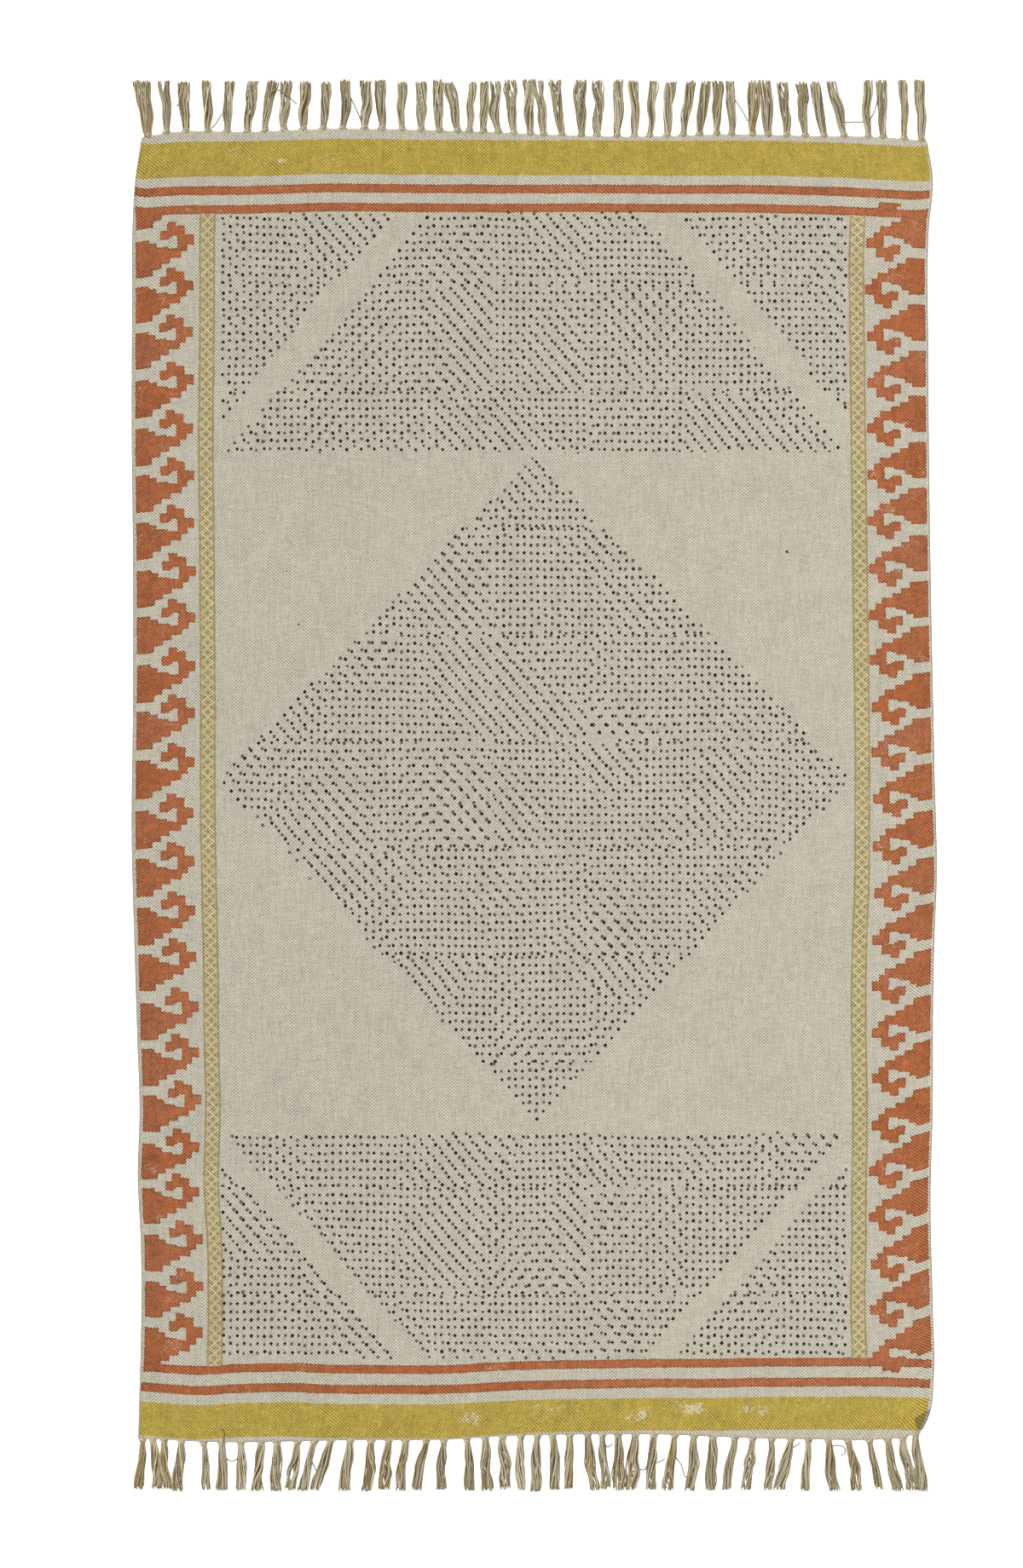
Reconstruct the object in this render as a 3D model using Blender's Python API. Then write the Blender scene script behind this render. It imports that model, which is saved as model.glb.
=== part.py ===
"""A block-printed cotton dhurrie rug with knotted fringes, lying flat on the floor.

Metres, +Z up.  The origin is on the floor under the middle of the rug's box, +Y runs
along the rug towards its far fringe, and +X across it.  The cloth is a length of plain
weave whose sides and ends stray a little from straight.  Each end's warp threads are
knotted into a row of tassels, so each fringe is one flat comb along its end.
"""

from collections import namedtuple
import random

import bpy
import numpy as np

MM = 0.001

# Driving dimensions
CLOTH_WIDTH = 0.914  # nominal, selvedge to selvedge
CLOTH_LENGTH = 1.490  # nominal, between the two knotted ends
CLOTH_THICKNESS = 0.003
RUG_LENGTH = 1.616  # with both fringes
EDGE_STEP = 0.012  # spacing of the outline's points

GAP = 0.0003  # between the cloth and a fringe
KNOT_ROW = 0.0035  # depth of the knotted row that carries the tassels

TASSEL_ROOT = 0.0052  # width at the knot
TASSEL_WIDTH = 0.0095  # width where the threads have spread
TASSEL_SPREADS_BY = 0.024  # distance from the knot to full width
TIP_UNEVEN = 0.003  # how much shorter than the longest a tassel is, at most
TIP_ROOM = 0.0115  # least distance between the tips of neighbours

PALE_COTTON = (0.53, 0.49, 0.40, 1.0)
FRINGE_COTTON = (0.42, 0.35, 0.24, 1.0)
COTTON_ROUGHNESS = 0.92

# How far each edge strays outwards from the nominal rectangle, in millimetres, at places
# along that edge.
Stray = namedtuple("Stray", "along out")

LEFT_STRAYS = [
    Stray(-745, -4.0),
    Stray(-690, -5.5),
    Stray(-600, -7.5),
    Stray(-525, -7.0),
    Stray(-445, -3.5),
    Stray(-370, -5.5),
    Stray(-290, -3.0),
    Stray(-175, 0.5),
    Stray(-60, 3.5),
    Stray(100, 2.0),
    Stray(255, 2.0),
    Stray(410, 3.5),
    Stray(565, 3.0),
    Stray(645, 2.5),
    Stray(700, -1.0),
    Stray(745, -8.0),
]
RIGHT_STRAYS = [
    Stray(-745, -12.0),
    Stray(-728, -4.5),
    Stray(-690, 0.0),
    Stray(-600, -1.0),
    Stray(-485, -3.5),
    Stray(-370, -1.0),
    Stray(-250, -0.5),
    Stray(-175, 1.0),
    Stray(-115, 3.5),
    Stray(20, 1.0),
    Stray(255, -3.5),
    Stray(490, -6.0),
    Stray(645, -5.5),
    Stray(705, -1.0),
    Stray(745, -7.5),
]
FAR_STRAYS = [
    Stray(-457, -4.5),
    Stray(-425, 1.0),
    Stray(-330, 2.0),
    Stray(-240, 5.5),
    Stray(-150, 4.5),
    Stray(-60, 2.0),
    Stray(20, -1.5),
    Stray(110, -3.5),
    Stray(240, -1.0),
    Stray(330, -3.0),
    Stray(410, -4.5),
    Stray(457, -9.0),
]
NEAR_STRAYS = [
    Stray(-457, 0.5),
    Stray(-400, 4.5),
    Stray(-200, 3.5),
    Stray(-100, 3.0),
    Stray(-20, -1.5),
    Stray(60, -3.0),
    Stray(150, -3.0),
    Stray(240, 0.5),
    Stray(330, 2.5),
    Stray(410, 2.5),
    Stray(440, -1.0),
    Stray(457, -9.0),
]

Tassel = namedtuple("Tassel", "root tip reach")

# Each tassel's knot and how far its tip leans to the right of it, in millimetres, left to right.
FAR_TASSELS = [
    (-441, -9), (-420, -4), (-398, -2), (-373, -1), (-351, 2), (-328, 7), (-308, 9),
    (-286, 2), (-264, 2), (-241, 3), (-219, 4), (-194, 1), (-174, -1), (-151, 1),
    (-129, 0), (-108, -3), (-87, -12), (-74, 4), (-58, 1), (-41, -4), (-23, -4),
    (-4, -4), (11, -10), (32, -9), (54, -1), (72, 1), (95, 1), (115, -2), (132, 5),
    (152, 4), (170, 10), (189, 8), (209, 1), (226, -2), (250, 1), (268, -5), (289, -5),
    (310, -5), (332, -10), (355, -15), (382, 0), (399, -2), (423, -2), (443, -3),
]
NEAR_TASSELS = [
    (-447, -5), (-436, 5), (-423, -1), (-403, -6), (-378, 3), (-357, 0), (-335, -1),
    (-312, -5), (-294, 0), (-270, -9), (-251, -13), (-232, -18), (-210, -6), (-186, -5),
    (-166, -5), (-147, -5), (-123, -11), (-103, -3), (-77, 4), (-56, 3), (-36, 3),
    (-15, 1), (4, -3), (21, 3), (41, -2), (61, 9), (78, 1), (96, 1), (116, -6),
    (137, -4), (161, -8), (183, -5), (205, -4), (230, -10), (250, -8), (272, -5),
    (294, -14), (314, -4), (336, 7), (359, 10), (383, 12), (404, 12), (421, 11),
    (436, 2),
]


def clear_scene():
    """Removes whatever the scene holds."""
    for thing in list(bpy.data.objects):
        bpy.data.objects.remove(thing, do_unlink=True)


def stray_at(strays, place):
    """How far an edge strays outwards at a place along it, on a smooth curve through its rows."""
    along, out = np.array(strays).T * MM
    slope = np.gradient(out, along)
    place = np.clip(place, along[0], along[-1])
    i = np.clip(np.searchsorted(along, place) - 1, 0, len(along) - 2)
    span = along[i + 1] - along[i]
    t = (place - along[i]) / span
    ends = out[i] * (1 + 2 * t) * (1 - t) ** 2 + out[i + 1] * t**2 * (3 - 2 * t)
    turns = span * t * (1 - t) * (slope[i] * (1 - t) - slope[i + 1] * t)
    return float(ends + turns)


def cloth_point(across, along):
    """Where a point of the nominal rectangle comes to lie on the floor."""
    right_share = 0.5 + across / CLOTH_WIDTH
    far_share = 0.5 + along / CLOTH_LENGTH
    x = across + right_share * stray_at(RIGHT_STRAYS, along)
    x -= (1 - right_share) * stray_at(LEFT_STRAYS, along)
    y = along + far_share * stray_at(FAR_STRAYS, across)
    y -= (1 - far_share) * stray_at(NEAR_STRAYS, across)
    return x, y


def stations(length):
    """Evenly spaced places along an edge, centred on zero, from end to end."""
    return np.linspace(-length / 2, length / 2, round(length / EDGE_STEP) + 1)


def cloth_outline():
    """The cloth's edge, anticlockwise from its near left corner."""
    half_width, half_length = CLOTH_WIDTH / 2, CLOTH_LENGTH / 2
    across, along = stations(CLOTH_WIDTH), stations(CLOTH_LENGTH)
    near = [cloth_point(x, -half_length) for x in across]
    right = [cloth_point(half_width, y) for y in along]
    far = [cloth_point(x, half_length) for x in across[::-1]]
    left = [cloth_point(-half_width, y) for y in along[::-1]]
    return near[:-1] + right[:-1] + far[:-1] + left[:-1]


def tassels(rows, seed):
    """The tassels of one end, left to right: where each is knotted, where its tip hangs and its reach."""
    rng = random.Random(seed)
    made = []
    for root, lean in rows:
        tip = (root + lean) * MM
        if made:
            tip = max(tip, made[-1].tip + TIP_ROOM)
        reach = RUG_LENGTH / 2 - rng.uniform(0, TIP_UNEVEN)
        made.append(Tassel(root * MM, tip, reach))
    made[len(made) // 2] = made[len(made) // 2]._replace(reach=RUG_LENGTH / 2)
    return made


def comb_outline(side, rows, seed):
    """The outline of one fringe: along the cloth's end, then back round every tassel."""
    across = stations(CLOTH_WIDTH)
    edge = [cloth_point(x, side * CLOTH_LENGTH / 2) for x in across]
    edge_x, edge_y = np.array(edge).T
    inner = [(x, y + side * GAP) for x, y in edge]

    def row_y(x):
        return float(np.interp(x, edge_x, edge_y)) + side * (GAP + KNOT_ROW)

    outer = [(edge_x[0], row_y(edge_x[0]))]
    for tassel in tassels(rows, seed):
        root_y = row_y(tassel.root)
        tip_y = side * tassel.reach
        wide = TASSEL_SPREADS_BY / abs(tip_y - root_y)
        wide_x = tassel.root + wide * (tassel.tip - tassel.root)
        wide_y = root_y + wide * (tip_y - root_y)
        foot, half = TASSEL_ROOT / 2, TASSEL_WIDTH / 2
        outer += [
            (tassel.root - foot, row_y(tassel.root - foot)),
            (wide_x - half, wide_y),
            (tassel.tip - half, tip_y),
            (tassel.tip + half, tip_y),
            (wide_x + half, wide_y),
            (tassel.root + foot, row_y(tassel.root + foot)),
        ]
    outer.append((edge_x[-1], row_y(edge_x[-1])))
    return inner + outer[::-1]


def flat_piece(name, outline, material, collection):
    """A flat piece of cloth thickness, standing on the floor, from its outline."""
    curve = bpy.data.curves.new(name, "CURVE")
    curve.dimensions = "2D"
    curve.fill_mode = "BOTH"
    curve.extrude = CLOTH_THICKNESS / 2
    spline = curve.splines.new("POLY")
    spline.points.add(len(outline) - 1)
    for point, (x, y) in zip(spline.points, outline):
        point.co = (x, y, 0.0, 1.0)
    spline.use_cyclic_u = True
    curve.materials.append(material)
    piece = bpy.data.objects.new(name, curve)
    piece.location.z = CLOTH_THICKNESS / 2
    collection.objects.link(piece)
    return piece


def cotton(name, colour):
    """A plain matt cotton."""
    material = bpy.data.materials.new(name)
    material.use_nodes = True
    surface = material.node_tree.nodes["Principled BSDF"]
    surface.inputs["Base Color"].default_value = colour
    surface.inputs["Roughness"].default_value = COTTON_ROUGHNESS
    surface.inputs["Metallic"].default_value = 0.0
    return material


def main():
    clear_scene()
    collection = bpy.data.collections.new("dhurrie_rug")
    bpy.context.scene.collection.children.link(collection)
    flat_piece("rug_cloth", cloth_outline(), cotton("printed_cotton", PALE_COTTON), collection)
    fringe_cotton = cotton("fringe_cotton", FRINGE_COTTON)
    flat_piece("fringe_far", comb_outline(1, FAR_TASSELS, seed=11), fringe_cotton, collection)
    flat_piece("fringe_near", comb_outline(-1, NEAR_TASSELS, seed=23), fringe_cotton, collection)


main()
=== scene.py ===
"""The looks of a block-printed cotton dhurrie rug, lying flat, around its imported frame.

The cloth is one sheet whose edge follows the CAD cloth's.  It carries its own flat
coordinates in millimetres, u across and v along, and its material draws the weave, the
dyes and their wear from those.  Each fringe is made of knots and of loose yarns.
"""

from collections import namedtuple
import math
import random

import bpy
import numpy as np
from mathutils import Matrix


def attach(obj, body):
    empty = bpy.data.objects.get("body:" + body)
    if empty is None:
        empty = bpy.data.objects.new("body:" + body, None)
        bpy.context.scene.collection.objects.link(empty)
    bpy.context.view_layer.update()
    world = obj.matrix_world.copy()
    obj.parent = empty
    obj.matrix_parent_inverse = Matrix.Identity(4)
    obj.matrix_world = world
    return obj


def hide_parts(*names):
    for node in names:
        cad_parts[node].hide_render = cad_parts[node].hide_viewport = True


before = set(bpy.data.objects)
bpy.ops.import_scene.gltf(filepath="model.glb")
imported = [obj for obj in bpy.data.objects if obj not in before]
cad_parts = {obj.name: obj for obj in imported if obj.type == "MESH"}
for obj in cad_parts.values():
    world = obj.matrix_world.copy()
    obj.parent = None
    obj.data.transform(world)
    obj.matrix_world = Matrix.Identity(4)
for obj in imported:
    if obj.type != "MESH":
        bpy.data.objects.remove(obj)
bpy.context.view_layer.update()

MM = 0.001
WIDTH, LENGTH = 914.0, 1490.0  # the cloth's flat size, mm
THICK = 2.6  # mm
LOWEST = 0.02  # mm over the floor, which nothing goes below


# -------- camera, floor and light

VIEW_HEIGHT = 1.794  # metres of floor from the frame's bottom to its top
VIEW_CENTRE = (-0.0258, 0.0015)
CAMERA_HEIGHT = 6.5
SENSOR = 36.0
FLOOR_SIDE = 24.0


def add_camera():
    """Looks straight down, with the picture's top towards +Y."""
    data = bpy.data.cameras.new("camera")
    data.sensor_fit = "VERTICAL"
    data.sensor_height = SENSOR
    data.lens = SENSOR * CAMERA_HEIGHT / VIEW_HEIGHT
    data.clip_end = 60
    camera = bpy.data.objects.new("camera", data)
    camera.location = (*VIEW_CENTRE, CAMERA_HEIGHT)
    bpy.context.scene.collection.objects.link(camera)
    bpy.context.scene.camera = camera


def add_sun(name, bearing, height, spread, strength):
    """A far, wide and soft light, in degrees: which way over the floor its light goes,
    turned from +X towards +Y, how high it stands, and how wide it looks."""
    data = bpy.data.lights.new(name, "SUN")
    data.angle = math.radians(spread)
    data.energy = strength
    light = bpy.data.objects.new(name, data)
    light.rotation_euler = (math.radians(90 - height), 0, math.radians(bearing - 90))
    bpy.context.scene.collection.objects.link(light)


def add_surroundings():
    """White surroundings, two suns, and a pale floor that glows a little."""
    world = bpy.data.worlds.new("studio")
    world.use_nodes = True
    background = world.node_tree.nodes["Background"]
    background.inputs["Color"].default_value = rgb(1.0, 1.0, 1.0)
    background.inputs["Strength"].default_value = 0.385
    bpy.context.scene.world = world
    bpy.context.scene.view_settings.view_transform = "Standard"
    add_sun("key", -48, 46, 22, 2.4)
    add_sun("fill", 140, 60, 60, 0.35)

    mesh = bpy.data.meshes.new("floor")
    half = FLOOR_SIDE / 2
    corners = [(-half, -half, 0), (half, -half, 0), (half, half, 0), (-half, half, 0)]
    mesh.from_pydata(corners, [], [(0, 1, 2, 3)])
    floor = bpy.data.objects.new("floor", mesh)
    bpy.context.scene.collection.objects.link(floor)
    graph = Graph("pale_floor")
    inputs = graph.surface.inputs
    inputs["Roughness"].default_value = 0.9
    inputs["Specular IOR Level"].default_value = 0.1
    inputs["Base Color"].default_value = rgb(0.95, 0.95, 0.95)
    inputs["Emission Color"].default_value = rgb(1.0, 1.0, 1.0)
    inputs["Emission Strength"].default_value = 0.9
    mesh.materials.append(graph.material)
    return floor


# -------- node graphs


class Num:
    """A number in a node graph: arithmetic on it adds Math nodes."""

    def __init__(self, graph, socket):
        self.graph, self.socket = graph, socket

    def __add__(self, other):
        return self.graph.math("ADD", self, other)

    __radd__ = __add__

    def __sub__(self, other):
        return self.graph.math("SUBTRACT", self, other)

    def __rsub__(self, other):
        return self.graph.math("SUBTRACT", other, self)

    def __mul__(self, other):
        return self.graph.math("MULTIPLY", self, other)

    __rmul__ = __mul__

    def __truediv__(self, other):
        return self.graph.math("DIVIDE", self, other)

    def __abs__(self):
        return self.graph.math("ABSOLUTE", self)


class Graph:
    """A material with a Principled surface, and short ways to add nodes to it."""

    def __init__(self, name):
        self.material = bpy.data.materials.new(name)
        self.material.use_nodes = True
        self.tree = self.material.node_tree
        self.surface = self.tree.nodes["Principled BSDF"]

    def node(self, kind, **settings):
        made = self.tree.nodes.new("ShaderNode" + kind)
        for key, value in settings.items():
            setattr(made, key, value)
        return made

    def feed(self, socket, value):
        if isinstance(value, Num):
            value = value.socket
        if isinstance(value, bpy.types.NodeSocket):
            self.tree.links.new(value, socket)
        else:
            socket.default_value = value

    def math(self, operation, *values):
        made = self.node("Math", operation=operation)
        for socket, value in zip(made.inputs, values):
            self.feed(socket, value)
        return Num(self, made.outputs[0])

    def least(self, first, *others):
        for other in others:
            first = self.math("MINIMUM", first, other)
        return first

    def most(self, first, *others):
        for other in others:
            first = self.math("MAXIMUM", first, other)
        return first

    def ramp(self, value, low, high):
        """0 up to low, 1 from high on, and smooth between; low may be the larger."""
        made = self.node("MapRange", interpolation_type="SMOOTHSTEP")
        self.feed(made.inputs["Value"], value)
        self.feed(made.inputs["From Min"], low)
        self.feed(made.inputs["From Max"], high)
        return Num(self, made.outputs["Result"])

    def attribute(self, name):
        return self.node("Attribute", attribute_name=name).outputs["Vector"]

    def split(self, vector):
        made = self.node("SeparateXYZ")
        self.feed(made.inputs[0], vector)
        return [Num(self, out) for out in made.outputs]

    def vector(self, x, y, z=0.0):
        made = self.node("CombineXYZ")
        for socket, value in zip(made.inputs, (x, y, z)):
            self.feed(socket, value)
        return made.outputs[0]

    def noise(self, vector, size, detail=1.0, seed=0.0):
        """Smooth noise about zero, mostly within -1 and 1; its lumps have that size in mm."""
        made = self.node("TexNoise", noise_dimensions="4D")
        self.feed(made.inputs["Vector"], vector)
        made.inputs["W"].default_value = seed
        made.inputs["Scale"].default_value = 1 / size
        made.inputs["Detail"].default_value = detail
        return (Num(self, made.outputs[0]) - 0.5) * 3.2

    def chance(self, x, y, seed=0.0):
        """Three unrelated numbers from 0 to 1 for each pair of whole numbers."""
        made = self.node("TexWhiteNoise", noise_dimensions="3D")
        self.feed(made.inputs["Vector"], self.vector(x, y, seed))
        return self.split(made.outputs["Color"])

    def curve(self, value, rows):
        """A smooth curve through rows of (place, height)."""
        places, heights = zip(*rows)
        low, high = min(heights), max(heights)
        share = (value - places[0]) / (places[-1] - places[0])
        made = self.node("FloatCurve")
        self.feed(made.inputs["Value"], share)
        points = made.mapping.curves[0].points
        while len(points) < len(rows):
            points.new(0.5, 0.5)
        for point, (place, height) in zip(points, rows):
            across = (place - places[0]) / (places[-1] - places[0])
            point.location = (across, (height - low) / (high - low))
            point.handle_type = "AUTO_CLAMPED"
        made.mapping.update()
        return Num(self, made.outputs[0]) * (high - low) + low

    def mix(self, share, first, second):
        """The first colour where share is 0, the second where it is 1."""
        made = self.node("Mix", data_type="RGBA")
        self.feed(made.inputs["Factor"], share)
        self.feed(made.inputs[6], first)
        self.feed(made.inputs[7], second)
        return made.outputs[2]

    def tinted(self, colour, factor):
        """colour times factor."""
        made = self.node("VectorMath", operation="SCALE")
        self.feed(made.inputs[0], colour)
        self.feed(made.inputs["Scale"], factor)
        return made.outputs[0]

    def bump(self, height, distance):
        made = self.node("Bump")
        made.inputs["Distance"].default_value = distance
        made.inputs["Strength"].default_value = 1.0
        self.feed(made.inputs["Height"], height)
        return made.outputs["Normal"]

    def cotton(self, colour, roughness, specular, sheen, normal):
        """Sets the surface up as cotton."""
        inputs = self.surface.inputs
        self.feed(inputs["Base Color"], colour)
        self.feed(inputs["Roughness"], roughness)
        self.feed(inputs["Normal"], normal)
        inputs["Specular IOR Level"].default_value = specular
        inputs["Sheen Weight"].default_value = sheen
        inputs["Sheen Roughness"].default_value = 0.6
        return self.material


def rgb(red, green, blue):
    return (red, green, blue, 1.0)


# -------- printed cotton

GROUND = rgb(0.533, 0.493, 0.396)
MUSTARD = rgb(0.452, 0.334, 0.060)
TERRACOTTA = rgb(0.375, 0.112, 0.036)
CREAM = rgb(0.660, 0.580, 0.370)
LATTICE = rgb(0.460, 0.375, 0.185)
LATTICE_DARK = rgb(0.285, 0.220, 0.092)
BLACK = rgb(0.007, 0.005, 0.003)
GREY_GREEN = rgb(0.048, 0.042, 0.026)

# Where the print runs out of line: places across the cloth, and how far the bands at that
# end lie towards the far fringe.
FAR_BOW = [(-457, 1.0), (-425, -4.8), (-395, -5.4), (-340, -4.2), (-240, -4.9), (-60, -2.6)]
FAR_BOW += [(20, 0.4), (110, 2.2), (160, 1.0), (250, -0.2), (330, -0.2), (410, -2.3), (457, 2.6)]
NEAR_BOW = [(-457, 0.0), (-400, -0.5), (-345, 2.8), (-300, 3.4), (-250, 0.7), (-200, -0.7)]
NEAR_BOW += [(-50, -1.0), (50, -0.8), (150, 0.6), (200, 2.1), (250, 5.0), (340, 7.3)]
NEAR_BOW += [(385, 8.2), (410, 7.0), (430, 5.0), (445, 0.0), (457, -5.5)]
# Bands across each end: from, to, along the cloth.
FAR_MUSTARD, NEAR_MUSTARD = (698.6, 738.6), (-742.6, -703.8)
NEAR_MUSTARD_LIFT = 1.3  # how much sooner the near band ends on its right half
STRIPES = [(656.2, 666.0), (677.8, 687.8), (-669.0, -659.2), (-692.1, -681.9)]

# The side borders and the lattice bands end at the inner stripes: far end, near end.
HOOK_ENDS, LATTICE_ENDS = (661.0, -664.0), (656.5, -659.5)

# The lattice band: its half width, its edge lines, and the diamonds of its lattice.
LATTICE_HALF = 9.2
LATTICE_LINE, LATTICE_LINE_HALF = 8.1, 1.1
LATTICE_PITCH, LATTICE_REACH = 11.3, 6.6  # of its diamonds, along; and their width over 2
# The middle of the lattice band, from the rug's middle line, at places along the rug.
LEFT_LATTICE = [(-745, 372.2), (-580, 371.0), (-390, 372.1), (-130, 369.6)]
LEFT_LATTICE += [(40, 370.6), (300, 371.7), (400, 371.5), (560, 370.4), (745, 370.4)]
RIGHT_LATTICE = [(-745, 370.5), (-590, 370.5), (-490, 374.0), (-200, 371.2)]
RIGHT_LATTICE += [(40, 374.8), (350, 376.0), (600, 375.0), (745, 375.0)]

# How many hooks of the side border there are up to a place along its own direction.
LEFT_HOOKS = [(-720, -2.0), (-663, -1.0), (-606, 0.0), (-554, 1.0), (-506, 1.9)]
LEFT_HOOKS += [(-401, 3.9), (-294, 5.9), (-186, 7.9), (-76, 9.9), (36, 11.9), (147, 13.9)]
LEFT_HOOKS += [(255, 15.9), (363, 17.9), (472, 19.9), (578, 21.9), (635, 22.95), (745, 25.0)]
RIGHT_HOOK_START, RIGHT_HOOK_PITCH = -609.9, 53.12
HOOK_PITCH = 53.8
HOOK_BASE = 451.3  # from the rug's middle line to the hooks' base

# One hook as overlapping boxes: in from its base, then along from its lower corner.
Box = namedtuple("Box", "inner outer low high")
HOOK = [
    Box(-3, 18.6, 0, 37.6),
    Box(-3, 15, 0, 42),
    Box(-3, 28.3, 7.3, 32.3),
    Box(-3, 23, 7.3, 37.6),
    Box(-3, 38.8, 13.3, 29.9),
    Box(-3, 35.6, 13.3, 32.3),
    Box(-3, 50.9, 19, 29.9),
    Box(46.9, 50.9, 19, 55.3),
    Box(46.9, 54.9, 26.3, 55.3),
    Box(46.9, 58.2, 26.3, 44.8),
    Box(46.9, 65.9, 33.5, 44.8),
    Box(27.1, 37.2, 39.6, 50.5),
    Box(35.1, 40.4, 41.6, 59.8),
    Box(35.1, 45.2, 44, 59.8),
    Box(35.1, 54.9, 44, 55.3),
]

# The bare strip along each selvedge: how wide it is at places along the rug.
LEFT_STRIP = [(-745, 1.8), (-700, 1.8), (-655, 4.8), (640, 4.8), (685, 1.2), (745, 1.2)]
RIGHT_STRIP = [(-745, 4.6), (-700, 4.4), (-655, 3.2), (600, 3.2), (680, 3.0), (745, 1.0)]

# Where the mustard missed raised threads: middle, half length, half height, and how much.
MISSES = [(-289, 711, 8, 4, 1.0), (-318, 711, 28, 9, 0.75), (-350, 720, 26, 14, 0.7)]
MISSES += [(-240, 709, 40, 8, 0.72), (-139, 715, 10, 5, 0.7), (-75, -722, 24, 11, 0.85)]
MISSES += [(118, -723, 38, 12, 0.9), (252, -711, 27, 9, 0.97), (334, -707, 9, 5, 0.9)]
MISSES += [(20, -716, 60, 10, 0.75), (180, -714, 30, 11, 0.95), (-294, -719, 22, 12, 0.78)]

# Stray spots of dye: middle, radius, and how dark.
SPOTS = [(289, 267, 1.7, 0.95), (-283, 245, 1.0, 0.6), (-269, 184, 1.2, 0.8)]
SPOTS += [(384, -665, 0.9, 0.8), (401, -668, 0.9, 0.8), (398, -672, 0.8, 0.7)]

# The weave: one repeat of its threads across and along the rug.
WEAVE_ACROSS, WEAVE_ALONG = 4.01, 3.545

STAMP = (109.2, 122.4)  # one printing block of dots
STAMP_CORNER = (62.0, 50.2)  # where the blocks are counted from
DOT_PITCH = (15.6, 18.4)  # between dots of one row, and between every other row
# Past these lines the blocks lie further along the rug: the line, and how far.
STAMP_SHIFTS = [(381.0, 33.6), (-391.0, -20.0)]
# All dots keep within this far of a middle line and between two ends.
FIELD_MIDDLE, FIELD_HALF = 1.0, 357.5
FIELD_FAR, FIELD_NEAR = 655.5, -655.0
# A field's slanted side: a place on it, out from the middle line and along the rug, and
# how much further out it is for each millimetre towards the near end.
Side = namedtuple("Side", "out along slope")
FAR_FIELD, FAR_CORNER = Side(131.0, 644.0, 0.8416), Side(165.0, 650.8, 0.8326)
NEAR_FIELD, NEAR_CORNER = Side(125.0, -657.6, -0.8868), Side(158.0, -657.0, -0.869)
FAR_FIELD_START, NEAR_FIELD_START, CORNER_START = 381.0, -397.0, 380.0
DIAMOND_MIDDLE, DIAMOND_FAR, DIAMOND_NEAR, DIAMOND_HALF = 7.0, 372.0, 393.0, 361.0

# The fold in the near right corner, drawn only as a line of painted shade: where it starts, its
# direction and its length.
FOLD_START, FOLD_WAY, FOLD_LENGTH = (456.0, -712.0), (-0.46, -0.89), 33.0


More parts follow.
